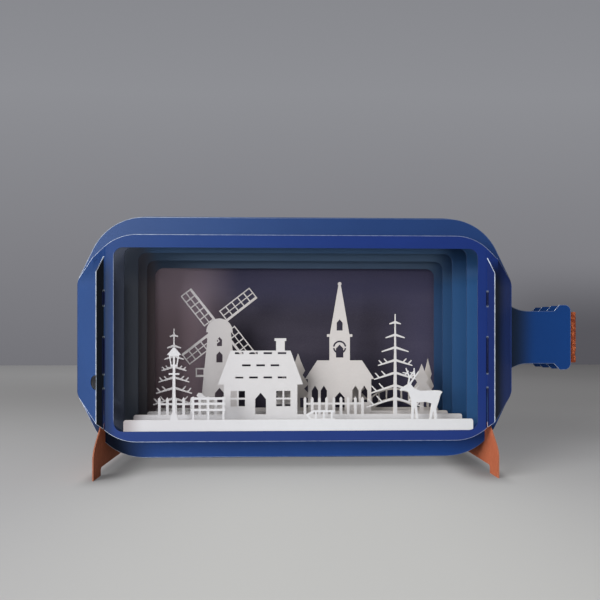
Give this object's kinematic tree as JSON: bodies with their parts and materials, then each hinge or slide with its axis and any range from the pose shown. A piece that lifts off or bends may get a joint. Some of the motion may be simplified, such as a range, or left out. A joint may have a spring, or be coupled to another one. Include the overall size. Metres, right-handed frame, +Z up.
{
  "type": "pop-up greeting card",
  "caption": "Pop-up greeting card shaped as a bottle lying on two card stands, with layered window frames around a white cut-paper village.",
  "frame": {"origin": "middle of the whole card's bounding box, on the table that its stands rest on", "axes": "+X along the bottle towards its mouth, +Y from the front of the card to its back, +Z up"},
  "size_m": [0.2618, 0.072, 0.1331],
  "materials": {
    "blue_card": "satin print",
    "slate_card": "satin print",
    "white_card": "matt",
    "printed_backdrop": "satin print",
    "brown_card": "matt",
    "cork": "matt granular"
  },
  "bodies": {
    "root": {"back_sheet": "blue_card", "backdrop": "printed_backdrop", "cork": "cork", "far_scene": "white_card", "first_bottle_sheet": "blue_card", "fourth_bottle_sheet": "blue_card", "front_sheet": "blue_card", "left_hinge_strip_1": "slate_card", "left_hinge_strip_2": "slate_card", "left_hinge_strip_3": "slate_card", "left_hinge_strip_4": "slate_card", "left_hinge_strip_5": "slate_card", "left_hinge_strip_6": "slate_card", "left_stand": "brown_card", "near_scene": "white_card", "right_hinge_strip_1": "slate_card", "right_hinge_strip_2": "slate_card", "right_hinge_strip_3": "slate_card", "right_hinge_strip_4": "slate_card", "right_hinge_strip_5": "slate_card", "right_hinge_strip_6": "slate_card", "right_stand": "brown_card", "second_bottle_sheet": "blue_card", "second_scene": "white_card", "third_bottle_sheet": "blue_card", "third_scene": "white_card"}
  },
  "joints": []
}
